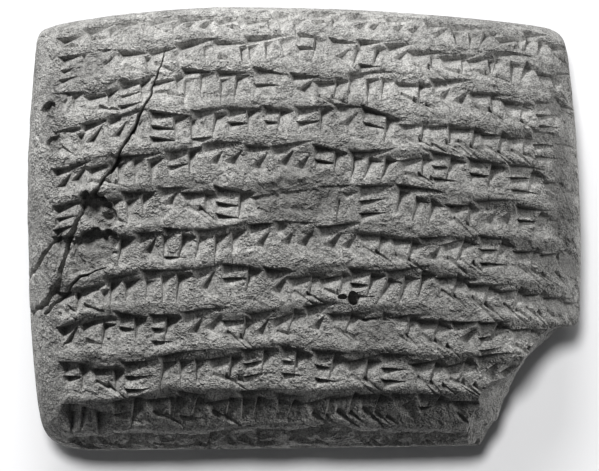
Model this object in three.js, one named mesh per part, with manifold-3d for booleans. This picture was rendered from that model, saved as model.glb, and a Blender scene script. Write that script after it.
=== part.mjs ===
// A small clay tablet in landscape format, lying on its reverse with the inscribed obverse up.
// Millimetres, +X along the writing, +Y towards the upper edge, +Z up out of the obverse.
// The clay is a cushion: two curved faces that meet in one rounded rim. Its rows of wedge
// impressions are laid out by a small random generator, so they spell nothing.
import * as THREE from 'three';
import Module from 'manifold-3d';
import { mergeVertices } from 'three/addons/utils/BufferGeometryUtils.js';

// ---- Driving dimensions ----
const WIDTH = 63.2;
const FACE_RISE = 11.2;      // from the rim line up to the highest point of the obverse
const BACK_DROP = 12.3;      // from the rim line down to the flat of the reverse
const ROW_PITCH = 4.56;      // from one row of writing to the next, along the clay
const ROWS = 13;             // the last one runs along the lower edge
const FIRST_ROW = 26.9;      // along the clay, from mid-height up to the first row
const CLAY_COLOUR = 0x8c8a85;

// How squarely each side rolls over: [exponent of the run, root of the fall].
const ROLL = {
  left: [5.2, 2.5],
  right: [4.6, 2.5],
  top: [2.5, 2.5],
  bottom: [5.8, 2.5],
  back: [3.8, 2.4],
};

// Corner squareness: the exponent of a superellipse, where a higher one is a tighter corner.
const CORNER = { topLeft: 46, topRight: 28, bottomLeft: 15, bottomRight: 20 };

// The reverse is cut off flat where its swell would pass this share of its depth.
const BACK_SWELL = 1.18;
const BACK_BLEND = 0.10;

// Half-sizes of the outline and how it bows. The rim swells most at the given height.
const SIDE = {
  left: { swell: 1.5, peak: 0.12 },
  right: { swell: 1.3, peak: -0.17 },
};
const TOP_EDGE = { height: 25.3, peak: -8, leftFall: 0.0050, rightFall: 0.0018 };
const BOTTOM_EDGE = { height: 25.08, slope: 0.012 };

// ---- Rows of writing ----
const ROW = {
  left: -29.2,               // where writing starts, along the clay from mid-width
  right: 32.5,
  archCentre: -3,            // the rows arch up towards here
  archReach: 24,             // the sag below is reached this far to either side
  archSag: 1.6,
  archFade: 0.022,           // how much sag is lost per squared row from the middle row
  middleRow: 6,
  crowd: 0.8,                // rows crowd a little towards the first and last of the face
  lastOnFace: 11,
  waver: [0.30, 0.22],       // how far a row wavers, and over what length along it
  waverLength: [4.3, 1.9],
  wallDepth: 0.34,           // the clay steps down this far at the upper side of a row
  wallRun: 0.42,
  floorRun: 2.9,             // and comes back up to the ridge over this far
  ridgeRise: 0.06,
};
const CARVE_SEED = 20261;
const BOLD_SIZE = 3.1;      // strokes whose length times depth is smaller are left out
const BACK_ROWS = [0, 1, 2, 3];
const BACK_FIRST_ROW = -24.5;

// ---- Damage ----
// Ovals have a centre x, y, a half-length, a half-height and a turn in degrees.
// Worn ovals carry no writing.
const WORN = [
  { x: -0.6, y: 3.2, a: 4.9, b: 2.9, turn: 14 },
  { x: 8.1, y: -11.6, a: 3.2, b: 1.7, turn: 8 },
  { x: 29.5, y: 4.0, a: 1.6, b: 5.5, turn: 0 },
  { x: -28.4, y: 12.0, a: 1.5, b: 4.2, turn: 0 },
  { x: -24.5, y: 18.5, a: 3.0, b: 1.5, turn: 30 },
];

// Flakes lie below the clay by a depth.
const FLAKES = [
  { x: -23.6, y: -2.6, a: 2.9, b: 2.2, turn: 35, depth: 0.55 },
  { x: -23.2, y: 2.0, a: 2.2, b: 1.5, turn: -50, depth: 1.1 },
  { x: 5.5, y: -7.8, a: 0.6, b: 0.75, turn: 10, depth: 1.0 },
  { x: -29.0, y: 13.6, a: 1.0, b: 0.6, turn: 40, depth: 0.6 },
  { x: -28.5, y: 9.6, a: 1.2, b: 0.7, turn: 60, depth: 0.5 },
  { x: 30.2, y: -4.0, a: 1.0, b: 1.6, turn: 10, depth: 0.45 },
];

// The crack across the left end, from the second row down to the left side: x, y.
const CRACK = [
  [-15.6, 20.7], [-16.5, 17.9], [-17.4, 14.9], [-19.0, 11.5], [-20.4, 8.9], [-22.6, 5.4],
  [-24.6, 2.8], [-26.5, -1.0], [-27.6, -5.6], [-29.2, -8.4], [-32.5, -10.4],
];
const CRACK_WIDTH = 0.42;
const CRACK_DEPTH = 1.1;

// The lost lower right corner. Points along the break and how far the clay stands out there,
// both measured from BREAK.start, with the break running down and to the left.
const BREAK = {
  start: [31.9, -8.2],
  turn: -127,                // direction of the break line, degrees from +X
  outline: [
    [-4.0, 2.6], [0.0, 0.1], [1.4, 0.75], [2.9, 0.95], [3.6, 0.3], [4.5, -0.5],
    [7.2, -1.15], [9.3, -1.3], [11.3, -0.95], [14.6, -0.4], [16.6, 0.45], [18.6, 0.15],
    [20.4, 0.6], [26.0, 0.9],
  ],
  upperRecess: 0.75,         // how far the break edge lies back at the obverse
  lowerRecess: 3.3,          // and near the lower edge, where the break slopes
  recessFrom: 9.5,
  recessTo: 16,
  reach: 30,                 // the cutting block runs this far out
};

// ---- Small helpers ----
const clamp = (value, low, high) => Math.min(Math.max(value, low), high);
const smoothstep = (low, high, value) => {
  const t = clamp((value - low) / (high - low), 0, 1);
  return t * t * (3 - 2 * t);
};
const degrees = (angle) => angle * Math.PI / 180;

// A linear congruential generator: the same seed always lays out the same rows.
function randomFrom(seed) {
  let state = seed >>> 0;
  return () => {
    state = (Math.imul(1664525, state) + 1013904223) >>> 0;
    return state / 4294967296;
  };
}

// ---- The cushion ----
// Share of the full height left at p, which runs from 0 in the middle to 1 at the rim.
const fall = (p, [run, root]) => Math.pow(Math.max(0, 1 - Math.pow(Math.abs(p), run)), 1 / root);

// Lengths along the clay from the middle to the rim, so that impressions keep their size.
const ARC_STEPS = 600;
function arcTable(halfSize, rise, roll) {
  const table = [[0, 0]];
  for (let i = 1; i <= ARC_STEPS; i += 1) {
    const p = Math.sin(Math.PI / 2 * i / ARC_STEPS);
    const [before, length] = table[i - 1];
    const run = halfSize * (p - before);
    const drop = rise * (fall(before, roll) - fall(p, roll));
    table.push([p, length + Math.hypot(run, drop)]);
  }
  return table;
}

const ARCS = {
  left: arcTable(WIDTH / 2, FACE_RISE, ROLL.left),
  right: arcTable(WIDTH / 2, FACE_RISE, ROLL.right),
  top: arcTable(TOP_EDGE.height, FACE_RISE, ROLL.top),
  bottom: arcTable(BOTTOM_EDGE.height, FACE_RISE, ROLL.bottom),
};
const arcEnd = (side) => ARCS[side][ARC_STEPS][1];

// Where a length along the clay ends, as a share of the way to the rim.
function shareAt(table, length) {
  let low = 0;
  let high = table.length - 1;
  while (high - low > 1) {
    const middle = (low + high) >> 1;
    if (table[middle][1] <= length) low = middle;
    else high = middle;
  }
  const [p0, l0] = table[low];
  const [p1, l1] = table[high];
  return p0 + (p1 - p0) * clamp((length - l0) / (l1 - l0), 0, 1);
}
const alongX = (s) => (s < 0 ? -shareAt(ARCS.left, -s) : shareAt(ARCS.right, s));
const alongY = (t) => (t < 0 ? -shareAt(ARCS.bottom, -t) : shareAt(ARCS.top, t));

// The outline: a superellipse whose corners differ, with bowed sides.
function planPoint(p, q) {
  const right = (1 + p) / 2;
  const top = (1 + q) / 2;
  const corner = (CORNER.topLeft * (1 - right) + CORNER.topRight * right) * top
    + (CORNER.bottomLeft * (1 - right) + CORNER.bottomRight * right) * (1 - top);
  const u = p * Math.pow(1 - Math.pow(Math.abs(q), corner) / 2, 1 / corner);
  const v = q * Math.pow(1 - Math.pow(Math.abs(p), corner) / 2, 1 / corner);
  const side = u < 0 ? SIDE.left : SIDE.right;
  const x = u * (WIDTH / 2 - side.swell * (v - side.peak) ** 2);
  const fromPeak = x - TOP_EDGE.peak;
  const topFall = fromPeak < 0 ? TOP_EDGE.leftFall : TOP_EDGE.rightFall;
  const y = v > 0
    ? v * (TOP_EDGE.height - topFall * fromPeak ** 2)
    : v * (BOTTOM_EDGE.height - BOTTOM_EDGE.slope * x);
  return [x, y];
}

// A point of the obverse from shares p, q of the way to the rim.
function facePoint(p, q) {
  const [x, y] = planPoint(p, q);
  const rise = fall(p, p < 0 ? ROLL.left : ROLL.right) * fall(q, q < 0 ? ROLL.bottom : ROLL.top);
  return new THREE.Vector3(x, y, BACK_DROP + FACE_RISE * rise);
}

// A point of the reverse, which is levelled off to a flat in the middle.
function backPoint(p, q) {
  const [x, y] = planPoint(p, q);
  const swell = BACK_SWELL * fall(p, ROLL.back) * fall(q, ROLL.back);
  let depth = swell;
  if (swell > 1 + BACK_BLEND) depth = 1;
  else if (swell > 1 - BACK_BLEND) depth = swell - (swell - 1 + BACK_BLEND) ** 2 / (4 * BACK_BLEND);
  return new THREE.Vector3(x, y, BACK_DROP * (1 - depth));
}

// Position and outward normal at lengths s, t along the clay.
const PROBE = 0.05;
function onClay(point, outward, s, t) {
  const at = (a, b) => point(alongX(a), alongY(b));
  const position = at(s, t);
  const alongS = at(s + PROBE, t).sub(at(s - PROBE, t));
  const alongT = at(s, t + PROBE).sub(at(s, t - PROBE));
  const normal = alongS.cross(alongT).normalize().multiplyScalar(outward);
  return { position, normal };
}

// ---- Rows and strokes ----
// Length along the clay, up from mid-height, of the upper side of a row at s.
function rowLine(s, row) {
  const fade = ROW.archFade * (row - ROW.middleRow) ** 2;
  const sag = Math.max(0, ROW.archSag - fade) * ((s - ROW.archCentre) / ROW.archReach) ** 2;
  const crowd = ROW.crowd * Math.sin(Math.PI * row / ROW.lastOnFace);
  const waver = ROW.waver[0] * Math.sin(s / ROW.waverLength[0] + 2.4 * row)
    + ROW.waver[1] * Math.sin(s / ROW.waverLength[1] + 1.7 * row);
  return FIRST_ROW - ROW_PITCH * row + crowd + waver - sag;
}

// A stroke is a pit under a triangle: three corners at the surface and the deepest point.
// Coordinates are [along the row, up from the row's upper side].
function wedge(a, c, turn, length, width, depth, bias) {
  const along = [Math.cos(degrees(turn)), Math.sin(degrees(turn))];
  const across = [-along[1], along[0]];
  const place = (u, v) => [a + along[0] * u + across[0] * v, c + along[1] * u + across[1] * v];
  return {
    corners: [place(0, width / 2), place(0.1 * width, -width / 2), place(length, 0)],
    pit: place(0.33 * width, bias * width / 2),
    depth,
  };
}

// A hook is the stylus corner pressed in: it opens to the right.
function hook(a, c, width, height, depth) {
  return {
    corners: [[a, c], [a + width, c - height * 0.48], [a + width * 0.9, c + height * 0.52]],
    pit: [a + width * 0.3, c + height * 0.1],
    depth,
  };
}

// One made-up sign: a generic cluster of strokes. Returns its width; `lean` slants it.
function addSign(random, a, lean, strokes) {
  const vary = (low, high) => low + (high - low) * random();
  const level = (start, c, length, width, steep = 0) => {
    const turn = 3 + 12 * lean + steep + vary(-4, 4);
    strokes.push(wedge(a + start, c, turn, length, width, vary(0.6, 0.9), 0.7));
  };
  const upright = (start, c, length, width) => {
    const turn = -92 - 38 * lean + vary(-8, 8);
    strokes.push(wedge(a + start, c, turn, length, width, vary(0.6, 0.9), -0.62));
  };
  const slant = (start, c, length, width) => {
    const turn = -24 - 14 * lean + vary(-7, 7);
    strokes.push(wedge(a + start, c, turn, length, width, vary(0.45, 0.7), vary(-0.5, 0.5)));
  };

  const choice = random();
  const fish = 0.1 + 0.55 * lean;
  if (choice < fish) {
    const length = vary(4.2, 6.0);
    level(-0.6, -2.0, length, vary(2.0, 2.7), 9);
    slant(-0.2, -2.2, vary(3.4, 4.8), vary(0.9, 1.2));
    upright(3.0, -0.5, vary(3.1, 4.1), vary(1.8, 2.4));
    slant(1.3, -2.6, vary(2.4, 3.6), vary(0.7, 1.0));
    if (random() < 0.5) slant(2.7, -3.0, vary(1.8, 2.6), vary(0.7, 1.0));
    return length * 0.62;
  }
  if (choice < fish + 0.15) {
    const count = 1 + Math.floor(vary(0, 2));
    level(-0.3, -0.9, 1.8 * count + 2.2, vary(1.5, 2.0), 4);
    for (let i = 0; i < count; i += 1) {
      const c = -2.3 + vary(-0.3, 0.3);
      strokes.push(hook(a + 0.3 + i * 1.8, c, vary(2.0, 2.6), vary(3.0, 3.8), vary(0.55, 0.8)));
    }
    return 1.0 + count * 1.8;
  }
  if (choice < fish + 0.38) {
    const length = vary(2.6, 4.0);
    level(-0.2, -0.8, length + 1.0, vary(1.7, 2.2));
    const count = 2 + Math.floor(vary(0.4, 2));
    for (let i = 1; i < count; i += 1) level(0, -0.8 - 1.4 * i, length, vary(1.2, 1.5));
    if (random() < 0.75) upright(length * 0.98, -0.1, vary(3.6, 4.5), vary(1.7, 2.2));
    return length + 0.9;
  }
  if (choice < fish + 0.56) {
    const count = 2 + Math.floor(vary(0, 1.9));
    level(-0.3, -0.7, 1.85 * count + 0.6, vary(1.5, 2.0), 2);
    for (let i = 0; i < count; i += 1) {
      upright(1.0 + i * 1.85, -0.4 + vary(-0.5, 0.3), vary(3.3, 4.4), vary(1.7, 2.2));
    }
    return 0.3 + count * 1.85;
  }
  if (choice < fish + 0.64) {
    const width = vary(2.8, 3.8);
    level(0, -0.5, width + 0.5, 1.7);
    level(0, -3.5, width, 1.3);
    upright(0.6, -0.4, 3.9, 1.6);
    upright(width, -0.3, 4.0, 1.8);
    return width + 0.6;
  }
  const length = vary(4.6, 6.6);
  level(-0.3, -1.4, length, vary(1.9, 2.4), 5);
  slant(0.5, -2.6, vary(2.8, 3.8), vary(1.0, 1.4));
  upright(3.6, -1.0, vary(3.0, 3.9), vary(1.5, 2.0));
  return length * 0.7;
}

// All strokes of one row, from its left margin to its right one.
function rowStrokes(row, left, right) {
  const random = randomFrom(CARVE_SEED + 7919 * row);
  const strokes = [];
  let a = left + 0.8 * random();
  while (a < right) {
    const lean = clamp(0.5 + 0.45 * a / 30 + 0.7 * (row / (ROWS - 1) - 0.4), 0, 1);
    a += addSign(random, a, lean, strokes) + 0.25 * random();
  }
  return strokes;
}

// Distance from the centre of an oval, where 1 is its edge.
function inOval(x, y, oval) {
  const angle = degrees(oval.turn);
  const along = (x - oval.x) * Math.cos(angle) + (y - oval.y) * Math.sin(angle);
  const across = -(x - oval.x) * Math.sin(angle) + (y - oval.y) * Math.cos(angle);
  return Math.hypot(along / oval.a, across / oval.b);
}

const isLost = (x, y) => [...WORN, ...FLAKES].some((oval) => inOval(x, y, oval) < 1);

// ---- Meshes ----
function meshGeometry(points, faces) {
  const geometry = new THREE.BufferGeometry();
  geometry.setAttribute('position', new THREE.Float32BufferAttribute(points.flat(), 3));
  geometry.setIndex(faces.flat());
  return geometry;
}

// The terraced relief of the rows: how far the clay stands proud at a step below a row's line.
const ROW_STEPS = [
  [-0.12, ROW.ridgeRise],
  [ROW.wallRun, -ROW.wallDepth],
  [ROW.floorRun, 0],
];

// Lines across the obverse: the rim, one line above the rows, three for each row, and the rim.
function faceLine(index, s) {
  const top = arcEnd('top');
  const bottom = -arcEnd('bottom');
  const row = Math.floor((index - 2) / ROW_STEPS.length);
  if (index === 0) return { t: top, rise: 0 };
  if (index === 1) return { t: (top + rowLine(s, 0)) / 2, rise: 0 };
  if (row < ROWS) {
    const [down, rise] = ROW_STEPS[(index - 2) % ROW_STEPS.length];
    const inside = smoothstep(ROW.left - 1, ROW.left + 2, s) * smoothstep(ROW.right, ROW.right - 4, s);
    return { t: rowLine(s, row) - down, rise: rise * inside };
  }
  return { t: bottom, rise: 0 };
}

const FACE_LINES = 2 + ROW_STEPS.length * ROWS + 2;
const LINES_PER_BACK_LINE = 3;
const COLUMNS = 20;

// Columns crowd towards the rim, where the clay turns over.
function columnAt(index) {
  const share = 2 * index / COLUMNS - 1;
  const eased = Math.sign(share) * (1 - (1 - Math.abs(share)) ** 1.25);
  return eased < 0 ? eased * arcEnd('left') : eased * arcEnd('right');
}

function clayBody() {
  const lines = FACE_LINES - 1;
  const points = [];
  const faces = [];
  const add = (vector) => points.push(vector.toArray()) - 1;

  const face = [];
  for (let j = 0; j <= lines; j += 1) {
    const line = [];
    for (let i = 0; i <= COLUMNS; i += 1) {
      const s = columnAt(i);
      const { t, rise } = faceLine(j, s);
      const onRim = i === 0 || i === COLUMNS || j === 0 || j === lines;
      const { position, normal } = onRim
        ? { position: facePoint(alongX(s), alongY(t)), normal: new THREE.Vector3() }
        : onClay(facePoint, 1, s, t);
      line.push(add(position.addScaledVector(normal, rise)));
    }
    face.push(line);
  }
  for (let j = 0; j < lines; j += 1) {
    for (let i = 0; i < COLUMNS; i += 1) {
      const [a, b, c, d] = [face[j][i], face[j + 1][i], face[j + 1][i + 1], face[j][i + 1]];
      faces.push([a, b, c], [a, c, d]);
    }
  }

  // The reverse has fewer lines, so the strips at its two ends are fans onto the shared rim.
  const backLines = lines / LINES_PER_BACK_LINE;
  const back = [];
  for (let k = 0; k <= backLines; k += 1) {
    const j = k * LINES_PER_BACK_LINE;
    const line = [];
    for (let i = 0; i <= COLUMNS; i += 1) {
      const onRim = i === 0 || i === COLUMNS || k === 0 || k === backLines;
      const p = alongX(columnAt(i));
      const left = alongY(faceLine(j, columnAt(0)).t);
      const right = alongY(faceLine(j, columnAt(COLUMNS)).t);
      const q = left + (right - left) * i / COLUMNS;
      line.push(onRim ? face[j][i] : add(backPoint(p, q)));
    }
    back.push(line);
  }
  for (let k = 0; k < backLines; k += 1) {
    for (let i = 0; i < COLUMNS; i += 1) {
      const ring = [back[k][i], back[k][i + 1]];
      if (i === COLUMNS - 1) ring.push(...rimBetween(face, k, COLUMNS));
      ring.push(back[k + 1][i + 1], back[k + 1][i]);
      if (i === 0) ring.push(...rimBetween(face, k, 0).reverse());
      addFan(faces, i === 0 ? ring.slice(1).concat(ring[0]) : ring);
    }
  }
  return meshGeometry(points, faces);
}

// The rim points between two lines of the reverse.
function rimBetween(face, k, column) {
  const first = k * LINES_PER_BACK_LINE;
  return [first + 1, first + 2].map((j) => face[j][column]);
}

function addFan(faces, ring) {
  for (let i = 1; i < ring.length - 1; i += 1) faces.push([ring[0], ring[i], ring[i + 1]]);
}

// The cutting pyramid of a stroke, carried past the surface so that it opens cleanly.
const OVERSHOOT = 1.9;
function strokeCutter(stroke, row, point, outward, rowAt) {
  const place = ([a, c], depth) => {
    const { position, normal } = onClay(point, outward, a, rowAt(a, row) + c);
    return position.addScaledVector(normal, -depth);
  };
  const tip = place(stroke.pit, stroke.depth);
  const rim = stroke.corners.map((corner) => place(corner, 0.05));
  const [a, b, c] = rim.map((corner) => corner.sub(tip).multiplyScalar(OVERSHOOT).add(tip));
  const points = [tip, a, b, c].map((vector) => vector.toArray());
  const facing = b.clone().sub(a).cross(c.clone().sub(a)).dot(tip.clone().sub(a));
  return facing < 0
    ? meshGeometry(points, [[1, 2, 3], [0, 2, 1], [0, 3, 2], [0, 1, 3]])
    : meshGeometry(points, [[1, 3, 2], [0, 1, 2], [0, 2, 3], [0, 3, 1]]);
}

// A closed block through loops of equal length, each a list of points around the block.
function loftedBlock(loops) {
  const count = loops[0].length;
  const points = loops.flat().map((vector) => vector.toArray());
  const faces = [];
  for (let level = 0; level < loops.length - 1; level += 1) {
    for (let i = 0; i < count; i += 1) {
      const a = level * count + i;
      const b = level * count + (i + 1) % count;
      faces.push([a, b, b + count], [a, b + count, a + count]);
    }
  }
  const cap = (loop) => THREE.ShapeUtils.triangulateShape(
    loop.map((vector) => new THREE.Vector2(vector.x, vector.y)), []);
  const last = (loops.length - 1) * count;
  for (const [a, b, c] of cap(loops[0])) faces.push([a, c, b]);
  for (const [a, b, c] of cap(loops[loops.length - 1])) faces.push([last + a, last + b, last + c]);
  return meshGeometry(points, faces);
}

// How far the clay stands out at a point along the break, at a height above the table.
function breakReach(along, standing, z) {
  const { upperRecess, lowerRecess, recessFrom, recessTo } = BREAK;
  const recess = upperRecess + (lowerRecess - upperRecess) * smoothstep(recessFrom, recessTo, along);
  const up = smoothstep(BACK_DROP - 1, BACK_DROP + FACE_RISE, z);
  const down = smoothstep(BACK_DROP - 2, 0, z);
  return standing - recess * up - 0.9 * down;
}

function breakBlock() {
  const angle = degrees(BREAK.turn);
  const direction = new THREE.Vector3(Math.cos(angle), Math.sin(angle), 0);
  const outward = new THREE.Vector3(-direction.y, direction.x, 0);
  const start = new THREE.Vector3(...BREAK.start, 0);
  const levels = [-1, 4, 9, 12.5, 16, 19, 21.5, FACE_RISE + BACK_DROP + 1];
  const loops = levels.map((z, level) => {
    const edge = BREAK.outline.map(([along, standing], i) => {
      const rough = 0.28 * Math.sin(7.3 * i + 4.1 * level);
      const reach = breakReach(along, standing, z) + rough;
      return start.clone().addScaledVector(direction, along).addScaledVector(outward, reach).setZ(z);
    });
    const first = BREAK.outline[0][0];
    const last = BREAK.outline[BREAK.outline.length - 1][0];
    const far = [last, first].map((along) => start.clone()
      .addScaledVector(direction, along).addScaledVector(outward, BREAK.reach).setZ(z));
    return edge.concat(far);
  });
  return loftedBlock(loops);
}

// The height of the obverse above a point in plan, close enough to place cuts.
function faceHeight(x, y) {
  const p = clamp(x / (WIDTH / 2), -0.999, 0.999);
  const q = clamp(y > 0 ? y / TOP_EDGE.height : y / BOTTOM_EDGE.height, -0.999, 0.999);
  return facePoint(p, q).z;
}

// The crack: a wedge-shaped slot that follows the clay and thins to nothing at its upper end.
function crackBlock() {
  const loops = CRACK.map(([x, y], i) => {
    const before = CRACK[Math.max(i - 1, 0)];
    const after = CRACK[Math.min(i + 1, CRACK.length - 1)];
    const along = new THREE.Vector2(after[0] - before[0], after[1] - before[1]).normalize();
    const open = CRACK_WIDTH * (0.35 + 0.65 * smoothstep(0, 5, i));
    const z = faceHeight(Math.max(x, -WIDTH / 2 + 0.4), y);
    const side = (offset, height) => new THREE.Vector3(x - along.y * offset, y + along.x * offset, height);
    return [side(0, z - CRACK_DEPTH), side(open, z + 1), side(-open, z + 1)];
  });
  const points = loops.flat().map((vector) => vector.toArray());
  const faces = [];
  for (let level = 0; level < loops.length - 1; level += 1) {
    for (let i = 0; i < 3; i += 1) {
      const a = level * 3 + i;
      const b = level * 3 + (i + 1) % 3;
      faces.push([a, b, b + 3], [a, b + 3, a + 3]);
    }
  }
  const last = (loops.length - 1) * 3;
  faces.push([0, 2, 1], [last, last + 1, last + 2]);
  return meshGeometry(points, faces);
}

// A flake: a shallow block over a ragged oval, with its floor below the clay.
const FLAKE_SIDES = 9;
function flakeBlock({ x, y, a, b, turn, depth }) {
  const angle = degrees(turn);
  const ring = (share, lift) => Array.from({ length: FLAKE_SIDES }, (_, i) => {
    const way = 2 * Math.PI * i / FLAKE_SIDES;
    const ragged = share * (1 + 0.12 * Math.sin(5.3 * i));
    const along = a * ragged * Math.cos(way);
    const across = b * ragged * Math.sin(way);
    const px = x + along * Math.cos(angle) - across * Math.sin(angle);
    const py = y + along * Math.sin(angle) + across * Math.cos(angle);
    return new THREE.Vector3(px, py, faceHeight(px, py) + lift);
  });
  return loftedBlock([ring(0.8, -depth), ring(1.25, 1)]);
}

// ---- Cutting ----
const wasm = await Module();
wasm.setup();

function solidOf(geometry) {
  geometry.deleteAttribute('normal');
  geometry.deleteAttribute('uv');
  const merged = mergeVertices(geometry);
  return new wasm.Manifold(new wasm.Mesh({
    numProp: 3,
    vertProperties: merged.attributes.position.array,
    triVerts: new Uint32Array(merged.index.array),
  }));
}

function geometryOf(solid) {
  const { vertProperties, triVerts } = solid.getMesh();
  const geometry = new THREE.BufferGeometry();
  geometry.setAttribute('position', new THREE.BufferAttribute(new Float32Array(vertProperties), 3));
  geometry.setIndex(new THREE.BufferAttribute(new Uint32Array(triVerts), 1));
  geometry.computeVertexNormals();
  return geometry;
}

// The strokes that show from a step away: long and deep ones, away from the worn spots.
function isBold(stroke) {
  const [[a0, c0], , [a2, c2]] = stroke.corners;
  return Math.hypot(a2 - a0, c2 - c0) * stroke.depth > BOLD_SIZE;
}

function faceCutters() {
  const cutters = [];
  for (let row = 0; row < ROWS; row += 1) {
    for (const stroke of rowStrokes(row, ROW.left, ROW.right)) {
      const [a, c] = stroke.pit;
      const { position } = onClay(facePoint, 1, a, rowLine(a, row) + c);
      if (isBold(stroke) && !isLost(position.x, position.y)) {
        cutters.push(strokeCutter(stroke, row, facePoint, 1, rowLine));
      }
    }
  }
  return cutters;
}

function backCutters() {
  const lineAt = (s, row) => BACK_FIRST_ROW + ROW_PITCH * (row - BACK_ROWS[0]);
  return BACK_ROWS.flatMap((row) => rowStrokes(row + ROWS, ROW.left + 3, 6)
    .filter(isBold)
    .map((stroke) => strokeCutter(stroke, row, backPoint, -1, lineAt)));
}

// Crumbs that the cuts leave loose fall away: only the largest body is the tablet.
function carvedTablet() {
  const strokes = [...faceCutters(), ...backCutters()];
  const cuts = [...strokes, breakBlock(), crackBlock(), ...FLAKES.map(flakeBlock)].map(solidOf);
  const bodies = solidOf(clayBody()).subtract(wasm.Manifold.union(cuts)).decompose();
  return bodies.reduce((kept, other) => (other.volume() > kept.volume() ? other : kept));
}

const group = new THREE.Group();
const clay = new THREE.MeshStandardMaterial({ color: CLAY_COLOUR, roughness: 0.93, metalness: 0 });
const tablet = new THREE.Mesh(geometryOf(carvedTablet()), clay);
tablet.name = 'tablet';
group.add(tablet);
export default group;
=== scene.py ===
"""Gives the packed clay tablet its surface: rows of wedge impressions, cracks, a break and clay.

Lengths are in millimetres while a shape is worked out, and in metres in the finished mesh.
"""
import math

import bpy
import numpy as np
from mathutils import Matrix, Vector


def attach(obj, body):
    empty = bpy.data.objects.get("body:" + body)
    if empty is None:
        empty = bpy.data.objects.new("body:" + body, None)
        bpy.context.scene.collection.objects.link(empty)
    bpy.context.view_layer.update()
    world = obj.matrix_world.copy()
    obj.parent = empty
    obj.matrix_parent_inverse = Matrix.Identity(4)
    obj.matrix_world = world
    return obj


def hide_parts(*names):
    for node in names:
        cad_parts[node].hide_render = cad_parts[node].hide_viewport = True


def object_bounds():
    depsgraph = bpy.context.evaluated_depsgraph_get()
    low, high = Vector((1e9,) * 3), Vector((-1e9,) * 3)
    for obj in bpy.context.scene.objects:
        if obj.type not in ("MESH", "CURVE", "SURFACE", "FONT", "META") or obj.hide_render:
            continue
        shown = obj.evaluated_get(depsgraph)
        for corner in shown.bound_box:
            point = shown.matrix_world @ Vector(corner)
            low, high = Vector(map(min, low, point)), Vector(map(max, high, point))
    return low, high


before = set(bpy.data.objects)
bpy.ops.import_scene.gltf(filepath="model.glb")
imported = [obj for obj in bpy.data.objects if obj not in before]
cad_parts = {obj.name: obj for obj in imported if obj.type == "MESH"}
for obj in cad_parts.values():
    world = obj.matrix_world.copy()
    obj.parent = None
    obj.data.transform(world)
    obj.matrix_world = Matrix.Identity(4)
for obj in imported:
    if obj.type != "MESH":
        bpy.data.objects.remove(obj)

bl_info = {
    "name": "Clay Tablet",
    "version": (1, 0, 0),
    "blender": (4, 5, 0),
    "location": "3D View > Sidebar > Tablet",
    "description": "Builds a small clay tablet with rows of wedge impressions and its studio",
    "category": "Add Mesh",
}

CAD_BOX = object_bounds()
MM = 0.001
NODE = "tablet"

# ---- The cushion, in millimetres, from the frame ----
WIDTH, HEIGHT, THICKNESS = ((high - low) / MM for low, high in zip(*CAD_BOX))
RISE_SHARE = 11.2 / 23.5     # how much of the thickness lies above the rim
FACE_RISE = THICKNESS * RISE_SHARE
BACK_DROP = THICKNESS - FACE_RISE

# How squarely each side rolls over: (exponent of the run, root of the fall).
ROLL = {
    "left": (5.2, 2.5),
    "right": (4.6, 2.5),
    "top": (2.5, 2.5),
    "bottom": (5.8, 2.5),
    "back": (3.8, 2.4),
}
# Corner squareness: the exponent of a superellipse, where a higher one is a tighter corner.
CORNER = {"top_left": 46, "top_right": 28, "bottom_left": 15, "bottom_right": 20}
BACK_SWELL = 1.18            # the reverse is levelled off where it would swell past this
BACK_BLEND = 0.10
SIDE_SWELL = {"left": (1.5, 0.12), "right": (1.3, -0.17)}
TOP_EDGE = HEIGHT / 2
TOP_PEAK = -8.0
TOP_FALL = (0.0050, 0.0018)  # left and right of the peak
BOTTOM_EDGE = HEIGHT / 2 - 0.24
BOTTOM_SLOPE = 0.012

# ---- Rows of writing ----
ROWS = 13
ROW_PITCH = 4.56
FIRST_ROW = 26.9
ROW_CROWD = 0.8              # rows crowd a little towards the two edges
LAST_FACE_ROW = 11
BACK_ROWS = 4                # the writing runs on over the lower edge onto the reverse
BACK_FIRST_ROW = -24.5
BACK_RIGHT = 6.0
ROW_LEFT = -29.2
ROW_RIGHT = 32.5
ARCH_CENTRE = -3.0
ARCH_REACH = 24.0
ARCH_SAG = 1.6
ARCH_FADE = 0.022
MIDDLE_ROW = 6
WAVER = (0.30, 0.22)         # how far a row wavers, and over what length along it
WAVER_LENGTH = (4.3, 1.9)
CARVE_SEED = 20261
ROW_SEED_STEP = 7919
PATCH_MARGIN = 0.2           # a stroke is pressed into the grid this far past its corners

# ---- Relief of the rows, beside the strokes ----
ROW_DRIFT = (0.3, 1.7, 11)   # how far the edge of a row strays, over what length, and its seed
LUMPS = (0.6, 2.2, 12)
RIDGE_RISE = 0.22            # the clay between two rows stands out this far
RIDGE_FROM = 3.1             # and starts this far below the upper side of a row
HOLLOW_DEPTH = 0.32          # the rows themselves are a shallow trough
HOLLOW_WALL = 0.9
HOLLOW_END = 3.6
LIP_SHARE = 0.25             # clay pushed up beside a stroke, as a share of its depth
LIP_REACH = 0.3

# ---- Roughness: each layer of noise is a height, the size of a lump and a seed ----
ROUGH_FACE = ((0.14, 7.0, 31), (0.06, 2.2, 32))
ROUGH_BACK = ((0.10, 7.0, 31), (0.04, 2.2, 32))
ROUGH_BREAK = ((0.30, 2.4, 51), (0.20, 1.0, 52), (0.10, 0.45, 53), (0.05, 0.22, 54))
CRUMBS = (0.06, 0.8, 33)
STAND_LIMIT = 0.05           # nothing stands out further than this at the rim
STAND_GAIN = 0.2             # and this much further away from it

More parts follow.
